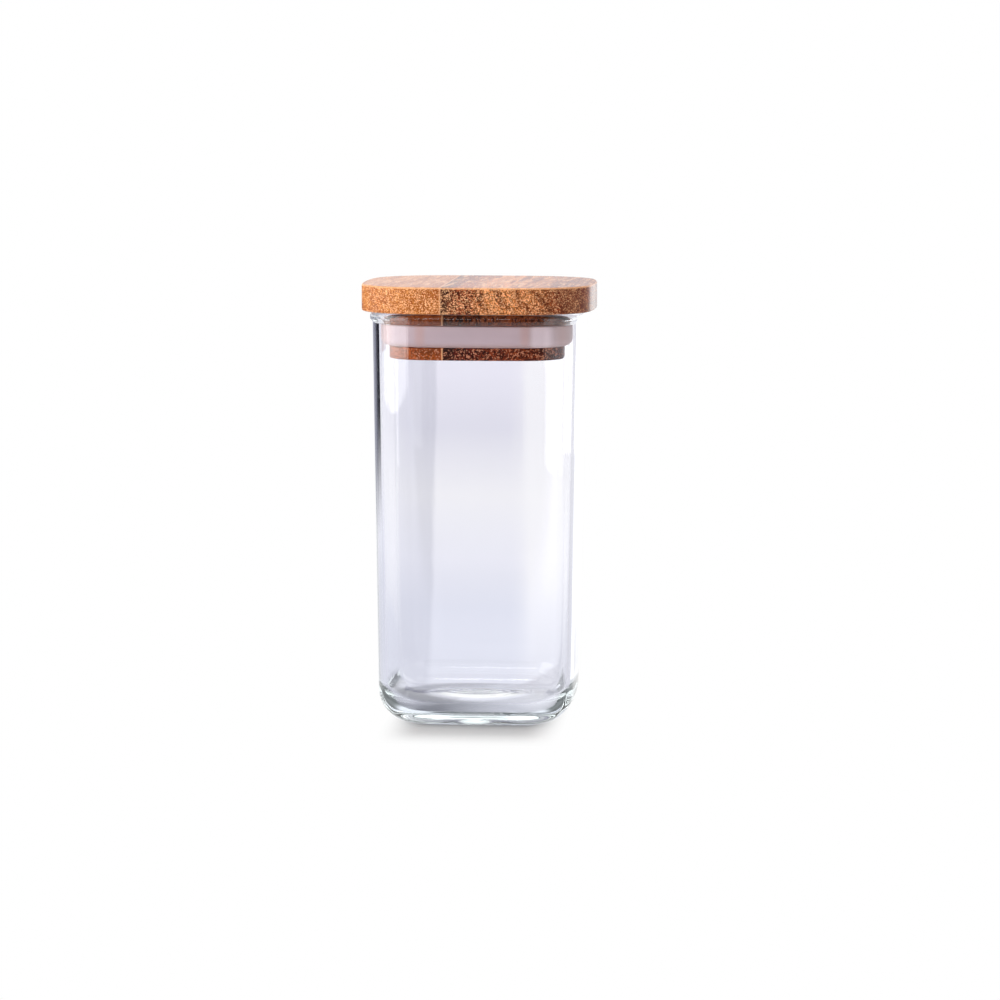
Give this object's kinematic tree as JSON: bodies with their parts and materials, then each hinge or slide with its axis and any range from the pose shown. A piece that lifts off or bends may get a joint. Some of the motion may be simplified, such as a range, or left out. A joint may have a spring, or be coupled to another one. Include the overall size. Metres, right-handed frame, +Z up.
{
  "type": "spice jar",
  "caption": "Square clear glass jar with rounded corners, a rolled lip and a thick base, closed by an edge-glued wooden plug lid with a silicone seal.",
  "frame": {"origin": "middle of the jar's foot, on the surface that it stands on", "axes": "+Z up along the jar, -Y towards the front, +X to the right"},
  "size_m": [0.0556, 0.0556, 0.1045],
  "materials": {
    "clear_glass": "polished clear glass",
    "pale_wood": "oiled acacia, satin",
    "brown_wood": "oiled acacia, satin",
    "silicone": "milky translucent silicone"
  },
  "bodies": {
    "jar": {"glass_jar": "clear_glass"},
    "lid": {"lid_stave_left": "pale_wood", "lid_stave_right": "brown_wood", "seal_ring": "silicone"}
  },
  "joints": [
    {"name": "lid_lift", "type": "slide", "parent": "jar", "child": "lid", "axis": [0, 0, 1], "range_m": [0, 0.06]}
  ]
}
